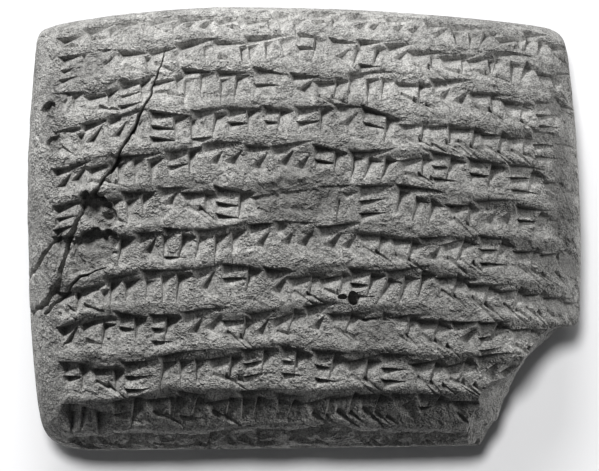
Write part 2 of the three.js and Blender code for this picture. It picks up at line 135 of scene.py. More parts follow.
# ---- Damage ----
# Ovals are given by centre x, y, half-length, half-height and turn in degrees.
WORN = (
    (-0.6, 3.2, 4.9, 2.9, 14),
    (8.1, -11.6, 3.2, 1.7, 8),
    (29.5, 4.0, 1.6, 5.5, 0),
    (-28.4, 12.0, 1.5, 4.2, 0),
    (-24.5, 18.5, 3.0, 1.5, 30),
)
# Flakes are ovals with a depth.
FLAKES = (
    (-23.6, -2.6, 2.9, 2.2, 35, 0.55),
    (-23.2, 2.0, 2.2, 1.5, -50, 1.1),
    (5.5, -7.8, 0.6, 0.75, 10, 1.0),
    (4.3, -7.7, 0.55, 0.3, 0, 0.8),
    (-29.0, 13.6, 1.0, 0.6, 40, 0.6),
    (-28.5, 9.6, 1.2, 0.7, 60, 0.5),
    (30.2, -4.0, 1.0, 1.6, 10, 0.45),
    (28.6, 14.0, 0.8, 1.1, 0, 0.4),
)
CRACK = (
    (-15.6, 20.7), (-16.5, 17.9), (-17.4, 14.9), (-19.0, 11.5), (-20.4, 8.9), (-22.6, 5.4),
    (-24.6, 2.8), (-26.5, -1.0), (-27.6, -5.6), (-29.2, -8.4), (-32.5, -10.4),
)
LOWER_BRANCH = ((-22.0, -4.6), (-25.3, -5.4), (-27.2, -7.4), (-29.4, -9.6))
UPPER_BRANCH = ((-27.4, -0.6), (-29.0, -2.2), (-30.2, -4.4), (-31.6, -5.8))
# Each crack is a path and its width at the wide end.
CRACKS = ((CRACK, 0.42), (LOWER_BRANCH, 0.3), (UPPER_BRANCH, 0.34))
CRACK_DEPTH = 0.9
CRACK_HAIR = 0.05            # half the width at the thin end
WORN_DEPTH = 0.1             # how far worn clay has gone down
WORN_SHARE = 0.7             # and how much of the writing went with it
BREAK_START = (31.9, -8.2)
BREAK_TURN = -127
BREAK_OUTLINE = (
    (-4.0, 2.6), (0.0, 0.1), (1.4, 0.75), (2.9, 0.95), (3.6, 0.3), (4.5, -0.5),
    (7.2, -1.15), (9.3, -1.3), (11.3, -0.95), (14.6, -0.4), (16.6, 0.45), (18.6, 0.15),
    (20.4, 0.6), (26.0, 0.9),
)
BREAK_RECESS = (0.75, 3.3)   # how far the break lies back at the obverse, above and below
BREAK_RECESS_SPAN = (9.5, 16.0)
BREAK_REACH = 30.0

# ---- Grid ----
FINE_STEP = 0.075
BACK_RATIO = 3               # one column of the reverse for three of the obverse

# ---- Studio, in metres ----
# Each light: its place, its size and its share of the power set for what it lights.
CLAY_LIGHTS = {
    "key": ((-0.075, 0.15, 0.097), 0.03, 1.0),
    "side": ((0.16, 0.07, 0.10), 0.08, 0.42),
}
FLOOR_LIGHTS = {
    "above floor": ((-0.04, 0.12, 0.85), 0.10, 1.0),
    "behind floor": ((-0.05, 0.42, 0.45), 0.30, 0.4),
}
FLOOR_HALF = 1.5
FLOOR_GAP = 0.00002          # between the floor and the clay
CAMERA_PLACE = (-0.0005, -0.0008, 0.6)
FRAME_SHARE = 1.085          # the picture is this much wider than the tablet


def smoothstep(low, high, value):
    """0 below low, 1 above high, and the cubic 3t^2 - 2t^3 between."""
    t = np.clip((value - low) / (high - low), 0, 1)
    return t * t * (3 - 2 * t)


def random_from(seed):
    """A linear congruential generator of numbers from 0 to 1: state * 1664525 + 1013904223."""
    state = seed

    def draw():
        nonlocal state
        state = (1664525 * state + 1013904223) & 0xFFFFFFFF
        return state / 4294967296

    return draw


def value_noise(points, cell, seed):
    """Smooth noise from -1 to 1: random values on a cubic lattice, eased between its points."""
    lattice = np.random.RandomState(seed).uniform(-1, 1, (32, 32, 32)).astype(np.float32)
    scaled = points / cell + 511.3
    base = np.floor(scaled)
    frac = (scaled - base).astype(np.float32)
    ease = frac * frac * (3 - 2 * frac)
    low = base.astype(np.int32) % 32
    high = (low + 1) % 32
    total = 0
    for corner in range(8):
        pick = [high[..., k] if corner >> k & 1 else low[..., k] for k in range(3)]
        weight = 1
        for k in range(3):
            weight = weight * (ease[..., k] if corner >> k & 1 else 1 - ease[..., k])
        total = total + weight * lattice[pick[0], pick[1], pick[2]]
    return total


def layered(points, layers):
    """The sum of several layers of noise, each given as height, size and seed."""
    return sum(height * value_noise(points, size, seed) for height, size, seed in layers)


def blur(field, radius):
    """Three passes of a moving average in both directions, close to a bell curve."""
    width = max(1, int(round(radius)))
    for _ in range(3):
        for axis in (0, 1):
            padded = np.concatenate([np.repeat(field.take([0], axis), width + 1, axis), field,
                                     np.repeat(field.take([-1], axis), width, axis)], axis)
            total = np.cumsum(padded, axis=axis, dtype=np.float64)
            span = 2 * width + 1
            count = field.shape[axis]
            field = (total.take(range(span, span + count), axis)
                     - total.take(range(count), axis)) / span
    return field.astype(np.float32)


# ---- The cushion ----
def fall(p, roll):
    """Share of the height left at p: (1 - |p|^run)^(1/root)."""
    run, root = roll
    return np.maximum(0, 1 - np.abs(p) ** run) ** (1 / root)


def arc_table(half_size, roll):
    """Shares p from the middle to the rim, and the length along the clay up to each."""
    p = np.sin(np.linspace(0, math.pi / 2, 601))
    length = np.hypot(half_size * np.diff(p), FACE_RISE * np.diff(fall(p, roll)))
    return p, np.concatenate([[0], np.cumsum(length)])


ARCS = {
    "left": arc_table(WIDTH / 2, ROLL["left"]),
    "right": arc_table(WIDTH / 2, ROLL["right"]),
    "top": arc_table(TOP_EDGE, ROLL["top"]),
    "bottom": arc_table(BOTTOM_EDGE, ROLL["bottom"]),
}


def share_at(length, low_side, high_side):
    """The share p at a length along the clay, negative towards the low side."""
    down = np.interp(-length, ARCS[low_side][1], ARCS[low_side][0])
    up = np.interp(length, ARCS[high_side][1], ARCS[high_side][0])
    return np.where(length < 0, -down, up)


def plan_point(p, q):
    """The outline's inside, as a square pressed into a superellipse with bowed sides.

    x = p (1 - |q|^m / 2)^(1/m) and y = q (1 - |p|^m / 2)^(1/m), where m differs by corner.
    """
    right = (1 + p) / 2
    top = (1 + q) / 2
    m = ((CORNER["top_left"] * (1 - right) + CORNER["top_right"] * right) * top
         + (CORNER["bottom_left"] * (1 - right) + CORNER["bottom_right"] * right) * (1 - top))
    u = p * (1 - np.abs(q) ** m / 2) ** (1 / m)
    v = q * (1 - np.abs(p) ** m / 2) ** (1 / m)
    swell = np.where(u < 0, SIDE_SWELL["left"][0], SIDE_SWELL["right"][0])
    peak = np.where(u < 0, SIDE_SWELL["left"][1], SIDE_SWELL["right"][1])
    x = u * (WIDTH / 2 - swell * (v - peak) ** 2)
    from_peak = x - TOP_PEAK
    upper = TOP_EDGE - np.where(from_peak < 0, *TOP_FALL) * from_peak ** 2
    lower = BOTTOM_EDGE - BOTTOM_SLOPE * x
    return x, v * np.where(v > 0, upper, lower)


def face_points(p, q):
    """The obverse: the plan point, raised by the product of the two falls."""
    x, y = plan_point(p, q)
    rise = (np.where(p < 0, fall(p, ROLL["left"]), fall(p, ROLL["right"]))
            * np.where(q < 0, fall(q, ROLL["bottom"]), fall(q, ROLL["top"])))
    return np.stack([x, y, BACK_DROP + FACE_RISE * rise], -1)


def back_points(p, q):
    """The reverse: as the obverse, but levelled off to a flat in the middle."""
    x, y = plan_point(p, q)
    swell = BACK_SWELL * fall(p, ROLL["back"]) * fall(q, ROLL["back"])
    eased = swell - (swell - 1 + BACK_BLEND) ** 2 / (4 * BACK_BLEND)
    depth = np.where(swell > 1 + BACK_BLEND, 1, np.where(swell > 1 - BACK_BLEND, eased, swell))
    return np.stack([x, y, BACK_DROP * (1 - depth)], -1)


def normals_of(points):
    """Unit normals of a grid of points, from the cross product of its two slopes."""
    across = np.cross(np.gradient(points, axis=1), np.gradient(points, axis=0))
    return across / np.maximum(np.linalg.norm(across, axis=-1, keepdims=True), 1e-9)


# ---- Rows and strokes ----
def row_line(s, row):
    """Length along the clay of the upper side of a row.

    Even steps, a little crowding towards the edges, an arch, and a waver of two sine waves.
    """
    sag = np.maximum(0, ARCH_SAG - ARCH_FADE * (row - MIDDLE_ROW) ** 2)
    crowd = ROW_CROWD * np.sin(np.pi * row / LAST_FACE_ROW)
    waver = (WAVER[0] * np.sin(s / WAVER_LENGTH[0] + 2.4 * row)
             + WAVER[1] * np.sin(s / WAVER_LENGTH[1] + 1.7 * row))
    return (FIRST_ROW - ROW_PITCH * row + crowd + waver
            - sag * ((s - ARCH_CENTRE) / ARCH_REACH) ** 2)


def row_number(s, t):
    """The row, as a decimal number, that a point belongs to: row_line turned round."""
    row = (FIRST_ROW - t) / ROW_PITCH
    for _ in range(6):
        row = row + (row_line(s, row) - t) / ROW_PITCH
    return row


def wedge(a, c, turn, length, width, depth, bias):
    """A wedge: a triangle with a blunt head and a long tail over a pit near its head."""
    along = (math.cos(math.radians(turn)), math.sin(math.radians(turn)))
    across = (-along[1], along[0])

    def place(u, v):
        return a + along[0] * u + across[0] * v, c + along[1] * u + across[1] * v

    corners = (place(0, width / 2), place(0.1 * width, -width / 2), place(length, 0))
    return corners, place(0.33 * width, bias * width / 2), depth


def hook(a, c, width, height, depth):
    """A hook: the stylus corner pressed in, opening to the right."""
    corners = ((a, c), (a + width, c - height * 0.48), (a + width * 0.9, c + height * 0.52))
    return corners, (a + width * 0.3, c + height * 0.1), depth


def add_sign(random, a, lean, strokes):
    """Adds one made-up cluster of strokes and returns its width. Lean slants it."""
    def vary(low, high):
        return low + (high - low) * random()

    def level(start, c, length, width, steep=0.0):
        turn = 3 + 12 * lean + steep + vary(-4, 4)
        strokes.append(wedge(a + start, c, turn, length, width, vary(0.6, 0.9), 0.7))

    def upright(start, c, length, width):
        turn = -92 - 38 * lean + vary(-8, 8)
        strokes.append(wedge(a + start, c, turn, length, width, vary(0.6, 0.9), -0.62))

    def slant(start, c, length, width):
        turn = -24 - 14 * lean + vary(-7, 7)
        strokes.append(wedge(a + start, c, turn, length, width, vary(0.45, 0.7), vary(-0.5, 0.5)))

    choice = random()
    fish = 0.1 + 0.55 * lean
    if choice < fish:
        length = vary(4.2, 6.0)
        level(-0.6, -2.0, length, vary(2.0, 2.7), 9)
        slant(-0.2, -2.2, vary(3.4, 4.8), vary(0.9, 1.2))
        upright(3.0, -0.5, vary(3.1, 4.1), vary(1.8, 2.4))
        slant(1.3, -2.6, vary(2.4, 3.6), vary(0.7, 1.0))
        if random() < 0.5:
            slant(2.7, -3.0, vary(1.8, 2.6), vary(0.7, 1.0))
        return length * 0.62
    if choice < fish + 0.15:
        count = 1 + math.floor(vary(0, 2))
        level(-0.3, -0.9, 1.8 * count + 2.2, vary(1.5, 2.0), 4)
        for i in range(count):
            strokes.append(hook(a + 0.3 + i * 1.8, -2.3 + vary(-0.3, 0.3), vary(2.0, 2.6),
                                vary(3.0, 3.8), vary(0.55, 0.8)))
        return 1.0 + count * 1.8
    if choice < fish + 0.38:
        length = vary(2.6, 4.0)
        level(-0.2, -0.8, length + 1.0, vary(1.7, 2.2))
        for i in range(1, 2 + math.floor(vary(0.4, 2))):
            level(0, -0.8 - 1.4 * i, length, vary(1.2, 1.5))
        if random() < 0.75:
            upright(length * 0.98, -0.1, vary(3.6, 4.5), vary(1.7, 2.2))
        return length + 0.9
    if choice < fish + 0.56:
        count = 2 + math.floor(vary(0, 1.9))
        level(-0.3, -0.7, 1.85 * count + 0.6, vary(1.5, 2.0), 2)
        for i in range(count):
            upright(1.0 + i * 1.85, -0.4 + vary(-0.5, 0.3), vary(3.3, 4.4), vary(1.7, 2.2))
        return 0.3 + count * 1.85
    if choice < fish + 0.64:
        width = vary(2.8, 3.8)
        level(0, -0.5, width + 0.5, 1.7)
        level(0, -3.5, width, 1.3)
        upright(0.6, -0.4, 3.9, 1.6)
        upright(width, -0.3, 4.0, 1.8)
        return width + 0.6
    length = vary(4.6, 6.6)
    level(-0.3, -1.4, length, vary(1.9, 2.4), 5)
    slant(0.5, -2.6, vary(2.8, 3.8), vary(1.0, 1.4))
    upright(3.6, -1.0, vary(3.0, 3.9), vary(1.5, 2.0))
    return length * 0.7


def row_strokes(row, left, right):
    """All strokes of one row, from its left margin to its right one."""
    random = random_from(CARVE_SEED + ROW_SEED_STEP * row)
    strokes = []
    a = left + 0.8 * random()
    while a < right:
        lean = min(max(0.5 + 0.45 * a / 30 + 0.7 * (row / (ROWS - 1) - 0.4), 0), 1)
        a += add_sign(random, a, lean, strokes) + 0.25 * random()
    return strokes


def press(field, s, t, stroke, line_at):
    """Presses a stroke into a depth field: the least of three planes through its pit."""
    corners, pit, depth = stroke
    a_low, a_high = (pick(corner[0] for corner in corners) for pick in (min, max))
    c_low, c_high = (pick(corner[1] for corner in corners) for pick in (min, max))
    line = [line_at(a_low), line_at(a_high), line_at((a_low + a_high) / 2)]
    cols = slice(*np.searchsorted(s, (a_low - PATCH_MARGIN, a_high + PATCH_MARGIN)))
    rows = slice(*np.searchsorted(t, (min(line) + c_low - PATCH_MARGIN,
                                      max(line) + c_high + PATCH_MARGIN)))
    if cols.start == cols.stop or rows.start == rows.stop:
        return
    a = s[None, cols]
    c = t[rows, None] - line_at(a)
    planes = []
    for k in range(3):
        (x0, y0), (x1, y1) = corners[k], corners[(k + 1) % 3]
        here = (x1 - x0) * (c - y0) - (y1 - y0) * (a - x0)
        at_pit = (x1 - x0) * (pit[1] - y0) - (y1 - y0) * (pit[0] - x0)
        planes.append(here / at_pit)
    cut = depth * np.minimum(np.minimum(planes[0], planes[1]), planes[2])
    field[rows, cols] = np.maximum(field[rows, cols], cut)


def oval(x, y, spot):
    """Distance from the centre of a worn oval, where 1 is its edge."""
    cx, cy, a, b, turn = spot
    angle = math.radians(turn)
    along = (x - cx) * math.cos(angle) + (y - cy) * math.sin(angle)
    across = -(x - cx) * math.sin(angle) + (y - cy) * math.cos(angle)
    return np.hypot(along / a, across / b)


def path_distance(x, y, path):
    """Distance from a bent line, and how far along it the nearest point lies, from 0 to 1."""
    lengths = [math.dist(a, b) for a, b in zip(path, path[1:])]
    total = sum(lengths)
    best = np.full(x.shape, 1e9, dtype=np.float32)
    where = np.zeros(x.shape, dtype=np.float32)
    passed = 0.0
    for (x0, y0), (x1, y1), length in zip(path, path[1:], lengths):
        share = np.clip(((x - x0) * (x1 - x0) + (y - y0) * (y1 - y0)) / length ** 2, 0, 1)
        gap = np.hypot(x - x0 - share * (x1 - x0), y - y0 - share * (y1 - y0))
        nearer = gap < best
        best = np.where(nearer, gap, best)
        where = np.where(nearer, (passed + share * length) / total, where)
        passed += length
    return best, where


def row_band(flat):
    """The rows as shallow troughs, and the lumpy ridges between them."""
    height, size, seed = ROW_DRIFT
    row = row_number(flat[..., 0], flat[..., 1])
    row = row + height * value_noise(flat * (1, 0.5, 1), size, seed) / ROW_PITCH
    below = (row % 1) * ROW_PITCH
    hollow = (smoothstep(0, HOLLOW_WALL, below)
              * (1 - smoothstep(HOLLOW_WALL, HOLLOW_END, below)))
    ridge = np.sin(np.pi * np.clip((below - RIDGE_FROM) / (ROW_PITCH - RIDGE_FROM), 0, 1))
    written = (smoothstep(ROW_LEFT - 1.2, ROW_LEFT + 1, flat[..., 0])
               * smoothstep(ROW_RIGHT + 0.5, ROW_RIGHT - 2, flat[..., 0])
               * smoothstep(-0.3, 0, row) * smoothstep(ROWS, ROWS - 0.3, row))
    height, size, seed = LUMPS
    lumps = 1 + height * value_noise(flat * (0.6, 1, 1), size, seed)
    return (RIDGE_RISE * ridge * lumps - HOLLOW_DEPTH * hollow) * written


def worn_share(x, y, flat):
    """1 inside a worn oval and 0 outside it, with a ragged edge between."""
    worn = np.zeros_like(x)
    for index, spot in enumerate(WORN):
        edge = oval(x, y, spot) + layered(flat, ((0.3, 1.2, 21 + index), (0.16, 0.45, 25 + index)))
        worn = np.maximum(worn, smoothstep(1.2, 0.75, edge))
    return worn


def scratched(flat, points):
    """Roughness of worn clay: fine scratches down to the right, and grit."""
    s, t = flat[..., 0], flat[..., 1]
    slanted = np.stack([s + t, (s - t) / 6, t * 0], -1)
    return 0.07 * value_noise(slanted, 0.35, 36) + 0.08 * value_noise(points, 0.6, 35)


def flake_depth(x, y, flat, points):
    """How deep the flakes are: a gritty floor inside a ragged oval."""
    grit = 1 + layered(points, ((0.35, 0.7, 71), (0.25, 1.6, 72)))
    lost = np.zeros_like(x)
    for index, (*spot, depth) in enumerate(FLAKES):
        edge = oval(x, y, spot) + layered(flat, ((0.28, 1.3, 61 + index), (0.12, 0.5, 65 + index)))
        lost = np.maximum(lost, depth * grit * smoothstep(1.06, 0.88, edge))
    return lost


def crack_depth(x, y, points):
    """How deep the cracks are: slots along jittered paths that widen from one end."""
    crack = np.zeros_like(x)
    for path, widest in CRACKS:
        gap, along = path_distance(x + 0.3 * value_noise(points, 1.1, 41),
                                   y + 0.3 * value_noise(points, 1.1, 42), path)
        half = CRACK_HAIR + (widest / 2 - CRACK_HAIR) * smoothstep(0, 0.5, along)
        opened = smoothstep(half * 1.5, half * 0.5, gap) * smoothstep(0, 0.05, along)
        crack = np.maximum(crack, CRACK_DEPTH * opened)
    return crack


def face_relief(points, s, t):
    """How far the clay of the obverse stands out, how deep it was cut, and where it is worn."""
    x, y = points[..., 0], points[..., 1]
    grid_s, grid_t = np.meshgrid(s, t)
    flat = np.stack([grid_s, grid_t, np.zeros_like(grid_s)], -1)

    worn = worn_share(x, y, flat)
    kept = 1 - WORN_SHARE * worn
    cut = np.zeros(x.shape, dtype=np.float32)
    for number in range(ROWS):
        for stroke in row_strokes(number, ROW_LEFT, ROW_RIGHT):
            press(cut, s, t, stroke, lambda a, n=number: row_line(a, n))
    cut *= kept
    lip = LIP_SHARE * blur(cut, LIP_REACH / (s[1] - s[0])) * smoothstep(0.12, 0.0, cut)
    rough = (layered(points, ROUGH_FACE) + layered(points, (CRUMBS,)) * smoothstep(0.3, 0.05, cut)
             - worn * (WORN_DEPTH - scratched(flat, points)))

    lost = flake_depth(x, y, flat, points)
    crack = crack_depth(x, y, points)
    written = (row_band(flat) * kept - cut + lip) * smoothstep(0.5, 0.1, lost)
    stand = written + rough - np.maximum(crack, lost)
    return stand, np.maximum(cut, crack), np.maximum(worn, smoothstep(0.1, 0.4, lost))


def back_relief(s, t):
    """How deep the few rows on the reverse were cut."""
    cut = np.zeros((len(t), len(s)), dtype=np.float32)
    for number in range(BACK_ROWS):
        line = BACK_FIRST_ROW + ROW_PITCH * number
        for stroke in row_strokes(number + ROWS, ROW_LEFT + 3, BACK_RIGHT):
            press(cut, s, t, stroke, lambda a, line=line: line + 0 * a)
    return cut


# ---- Mesh making ----
def quads(index, flip):
    """Quads between the points of an index grid, turned round where flip is true."""
    faces = np.stack([index[:-1, :-1], index[:-1, 1:], index[1:, 1:], index[1:, :-1]], -1)
    faces = faces.reshape(-1, 4)
    return faces[:, ::-1] if flip else faces


def stitch(rim, inner, flip):
    """Triangles between a fine rim line and the coarser line of points inside it.

    Each rim edge reaches to the inner point of its own coarse cell, and the gap that is left
    between two inner points is closed from the rim point between them.
    """
    cells = (len(rim) - 1) // BACK_RATIO
    cell = np.arange(len(rim) - 1) // BACK_RATIO
    apex = inner[np.clip(cell, 1, cells - 1) - 1]
    between = rim[2 * BACK_RATIO:(cells - 1) * BACK_RATIO + 1:BACK_RATIO]
    faces = np.concatenate([np.stack([apex, rim[:-1], rim[1:]], -1),
                            np.stack([inner[:-1], between, inner[1:]], -1)])
    return faces[:, ::-1] if flip else faces


def mesh_from(name, points, faces):
    """A mesh from points in millimetres and arrays of triangles or quads."""
    mesh = bpy.data.meshes.new(name)
    loops = np.concatenate([part.ravel() for part in faces]).astype(np.int32)
    sizes = np.concatenate([np.full(len(part), part.shape[1]) for part in faces])
    starts = np.concatenate([[0], np.cumsum(sizes)[:-1]]).astype(np.int32)
    mesh.vertices.add(len(points))
    mesh.vertices.foreach_set("co", (points * MM).astype(np.float32).ravel())
    mesh.loops.add(len(loops))
    mesh.loops.foreach_set("vertex_index", loops)
    mesh.polygons.add(len(sizes))
    mesh.polygons.foreach_set("loop_start", starts)
    mesh.update(calc_edges=True)
    return mesh


def add_object(name, mesh):
    """Links a new object for a mesh into the scene."""
    piece = bpy.data.objects.new(name, mesh)
    bpy.context.collection.objects.link(piece)
    return piece


def clay_grid(step):
    """The whole closed skin: a fine obverse and a coarser reverse that share the rim."""
    def lengths(low_side, high_side):
        low, high = ARCS[low_side][1][-1], ARCS[high_side][1][-1]
        count = int((low + high) / step / BACK_RATIO) * BACK_RATIO
        return np.linspace(-low, high, count + 1)

    s, t = lengths("left", "right"), lengths("bottom", "top")
    p, q = share_at(s, "left", "right"), share_at(t, "bottom", "top")
    p[[0, -1]] = q[[0, -1]] = (-1, 1)
    grid_p, grid_q = np.meshgrid(p, q)
    base = face_points(grid_p, grid_q)
    stand, cut, worn = face_relief(base, s, t)
    edge = np.minimum(np.minimum(s - s[0], s[-1] - s)[None, :],
                      np.minimum(t - t[0], t[-1] - t)[:, None])
    limit = STAND_LIMIT + STAND_GAIN * smoothstep(0.5, 6, edge)
    stand = np.minimum(stand, limit) * smoothstep(-0.5, 1.5, edge)
    face = base + normals_of(base) * stand[..., None]

    back_p, back_q = np.meshgrid(p[::BACK_RATIO], q[::BACK_RATIO])
    back_base = back_points(back_p, back_q)
    back_normal = -normals_of(back_base)
    rough = layered(back_base, ROUGH_BACK)
    lifted = smoothstep(0, 2.5, back_base[..., 2])
    back_cut = back_relief(s[::BACK_RATIO], t[::BACK_RATIO])
    back = back_base + back_normal * (rough * lifted - back_cut)[..., None]

    rows, cols = base.shape[:2]
    index = np.arange(rows * cols).reshape(rows, cols)
    inner = back[1:-1, 1:-1]
    back_index = rows * cols + np.arange(inner[..., 0].size).reshape(inner.shape[:2])
    points = np.concatenate([face.reshape(-1, 3), inner.reshape(-1, 3)])
    faces = [
        quads(index, False),
        quads(back_index, True),
        stitch(index[0], back_index[0], True),
        stitch(index[-1], back_index[-1], False),
        stitch(index[:, 0], back_index[:, 0], False),
        stitch(index[:, -1], back_index[:, -1], True),
    ]
    cut = np.concatenate([cut.ravel(), back_cut[1:-1, 1:-1].ravel()])
    worn = np.concatenate([worn.ravel(), np.zeros(inner[..., 0].size)])
    return points, faces, cut, worn


def break_reach(along, z):
    """How far the clay stands out along the break, at a height above the table.

    The outline's reach, less a recess that grows towards the obverse and, more gently,
    towards the reverse. Its roughness is added in break_block.
    """
    standing = np.interp(along, *zip(*BREAK_OUTLINE))
    low, high = BREAK_RECESS
    recess = low + (high - low) * smoothstep(*BREAK_RECESS_SPAN, along)
    up = smoothstep(BACK_DROP - 1, BACK_DROP + FACE_RISE, z)
    down = smoothstep(BACK_DROP - 2, 0, z)
    return standing - recess * up - 0.9 * down


def break_axes():
    """The direction of the break line and the direction out of the clay across it."""
    angle = math.radians(BREAK_TURN)
    along = np.array([math.cos(angle), math.sin(angle)])
    return along, np.array([-along[1], along[0]])


def break_block(step):
    """The block of clay that is lost: a rough sheet, closed by a plain sheet far outside."""
    first, last = BREAK_OUTLINE[0][0], BREAK_OUTLINE[-1][0]
    along = np.linspace(first, last, int((last - first) / step))
    z = np.linspace(-1, THICKNESS + 1.5, int((THICKNESS + 2.5) / step))
    grid_a, grid_z = np.meshgrid(along, z)
    flat = np.stack([grid_a, grid_z, np.zeros_like(grid_a)], -1)
    reach = break_reach(grid_a, grid_z) + layered(flat, ROUGH_BREAK)
    direction, outward = break_axes()
    sheets = []
    for distance in (reach, np.full_like(reach, BREAK_REACH)):
        plan = (np.array(BREAK_START) + grid_a[..., None] * direction
                + distance[..., None] * outward)
        sheets.append(np.concatenate([plan, grid_z[..., None]], -1))
    count = grid_a.size
    near = np.arange(count).reshape(grid_a.shape)
    far = near + count
    faces = [quads(near, False), quads(far, True)]
    for edge, flip in ((np.s_[0, :], True), (np.s_[-1, :], False),
                       (np.s_[:, 0], False), (np.s_[:, -1], True)):
        faces.append(quads(np.stack([near[edge], far[edge]]), flip))
    return np.concatenate([sheet.reshape(-1, 3) for sheet in sheets]), faces


def vertices_of(mesh):
    """The places of a mesh's vertices, in metres, one row for each."""
    points = np.empty(len(mesh.vertices) * 3, dtype=np.float32)
    mesh.vertices.foreach_get("co", points)
    return points.reshape(-1, 3)


def add_mask(mesh, name, values):
    """Stores one number for each vertex under a name that the material reads."""
    layer = mesh.attributes.new(name, "FLOAT", "POINT")
    layer.data.foreach_set("value", np.asarray(values, dtype=np.float32))


def baked(piece):
    """The mesh of an object with its modifiers applied."""
    graph = bpy.context.evaluated_depsgraph_get()
    return bpy.data.meshes.new_from_object(piece.evaluated_get(graph))


def build_tablet(budget):
    """The skin with its corner broken off, thinned to a number of triangles."""
    step = FINE_STEP
    points, faces, cut, worn = clay_grid(step)
    mesh = mesh_from("clay", points, faces)
    add_mask(mesh, "cut", cut)
    add_mask(mesh, "worn", worn)
    whole = add_object("whole", mesh)
    block = add_object("block", mesh_from("block", *break_block(step * 1.5)))
    carve = whole.modifiers.new("break", "BOOLEAN")
    carve.operation = "DIFFERENCE"
    carve.object = block
    carve.solver = "MANIFOLD"
    broken = baked(whole)
    bpy.data.objects.remove(whole)
    bpy.data.objects.remove(block)

    piece = add_object("tablet_clay", broken)
    broken.calc_loop_triangles()
    thin = piece.modifiers.new("thin", "DECIMATE")
    thin.ratio = budget / len(broken.loop_triangles)
    mesh = baked(piece)
    piece.modifiers.clear()
    piece.data = mesh
    above_table = np.maximum(vertices_of(mesh), (-1, -1, 0)).astype(np.float32)
    mesh.vertices.foreach_set("co", above_table.ravel())
    mesh.shade_smooth()
    mesh.set_sharp_from_angle(angle=math.radians(50))
    add_mask(mesh, "fracture", fracture_mask(mesh))
    return piece


def fracture_mask(mesh):
    """1 on the broken face and 0 away from it, from the distance behind the break."""
    points = vertices_of(mesh) / MM
    direction, outward = break_axes()
    offset = points[:, :2] - np.array(BREAK_START)
    behind = break_reach(offset @ direction, points[:, 2]) - offset @ outward
    return smoothstep(0.75, 0.45, behind)


# ---- Materials ----
class Graph:
    """Adds nodes to a node tree and wires them by name, one call for each node."""

    def __init__(self, tree):
        self.tree = tree

    def add(self, kind, settings=None, **inputs):
        """Adds a node. Inputs are values or sockets, with _ for a space in a socket's name."""
        node = self.tree.nodes.new(kind)
        for name, value in (settings or {}).items():
            setattr(node, name, value)
        for name, value in inputs.items():
            self.feed(node, name.replace("_", " "), value)
        return node

    def feed(self, node, name, value):
        socket = node.inputs[int(name[1:])] if name[0] == "#" else node.inputs[name]
        if isinstance(value, bpy.types.NodeSocket):
            self.tree.links.new(value, socket)
        else:
            socket.default_value = value

    def math(self, operation, *values, clamp=False):
        node = self.tree.nodes.new("ShaderNodeMath")
        node.operation = operation
        node.use_clamp = clamp
        for place, value in enumerate(values):
            self.feed(node, f"#{place}", value)
        return node.outputs[0]

    def ramp(self, value, low, high, to_low=0.0, to_high=1.0):
        """Maps a value from the range low to high onto another range, smoothly and clamped."""
        node = self.add("ShaderNodeMapRange", {"interpolation_type": "SMOOTHSTEP"}, Value=value,
                        From_Min=low, From_Max=high, To_Min=to_low, To_Max=to_high)
        return node.outputs["Result"]

    def noise(self, vector, scale, detail=4.0, roughness=0.55):
        node = self.add("ShaderNodeTexNoise", None, Vector=vector, Scale=scale, Detail=detail,
                        Roughness=roughness)
        return node.outputs["Fac"]

    def mix(self, factor, a, b, blend="MIX"):
        node = self.tree.nodes.new("ShaderNodeMix")
        node.data_type = "RGBA"
        node.blend_type = blend
        for place, value in ((0, factor), (6, a), (7, b)):
            self.feed(node, f"#{place}", value)
        return node.outputs[2]

    def mask(self, name):
        return self.add("ShaderNodeAttribute", {"attribute_name": name}).outputs["Fac"]


def effect_group(name, inputs, outputs):
    """A shader node group with named sockets. Returns it with its graph, input and output."""
    tree = bpy.data.node_groups.new(name, "ShaderNodeTree")
    for label, kind, default in inputs:
        socket = tree.interface.new_socket(label, in_out="INPUT", socket_type=kind)
        if default is not None:
            socket.default_value = default
    for label, kind in outputs:
        tree.interface.new_socket(label, in_out="OUTPUT", socket_type=kind)
    graph = Graph(tree)
    return tree, graph, graph.add("NodeGroupInput"), graph.add("NodeGroupOutput")


def grain_group():
    """Clay grain: fine pits and grits as a height, and light and dark specks as a tone."""
    tree, graph, given, result = effect_group(
        "Clay Grain",
        (("Vector", "NodeSocketVector", None), ("Scale", "NodeSocketFloat", 1.0)),
        (("Tone", "NodeSocketFloat"), ("Height", "NodeSocketFloat")),
    )
    vector = graph.add("ShaderNodeVectorMath", {"operation": "SCALE"},
                       Vector=given.outputs["Vector"], Scale=given.outputs["Scale"]).outputs[0]
    coarse = graph.noise(vector, 1400.0, 5.0, 0.62)
    fine = graph.noise(vector, 5200.0, 3.0, 0.6)
    cells = graph.add("ShaderNodeTexVoronoi", None, Vector=vector, Scale=2300.0)
    specks = graph.ramp(cells.outputs["Distance"], 0.0, 0.32, 1.0, 0.0)
    crumbs = graph.math("MULTIPLY", graph.noise(vector, 2600.0, 2.0, 0.7),
                        graph.ramp(graph.noise(vector, 420.0, 3.0, 0.6), 0.46, 0.6))
    height = graph.math("ADD", graph.math("MULTIPLY", coarse, 0.6),
                        graph.math("ADD", graph.math("MULTIPLY", fine, 0.3), crumbs))
    pits = graph.math("MULTIPLY", specks, graph.ramp(graph.noise(vector, 900.0), 0.52, 0.66))
    graph.feed(result, "Height", graph.math("SUBTRACT", height, graph.math("MULTIPLY", pits, 0.5)))
    tone = graph.math("ADD", graph.math("MULTIPLY", fine, 0.6), graph.math("MULTIPLY", coarse, 0.4))
    graph.feed(result, "Tone", graph.math("SUBTRACT", tone, graph.math("MULTIPLY", pits, 0.25)))
    return tree


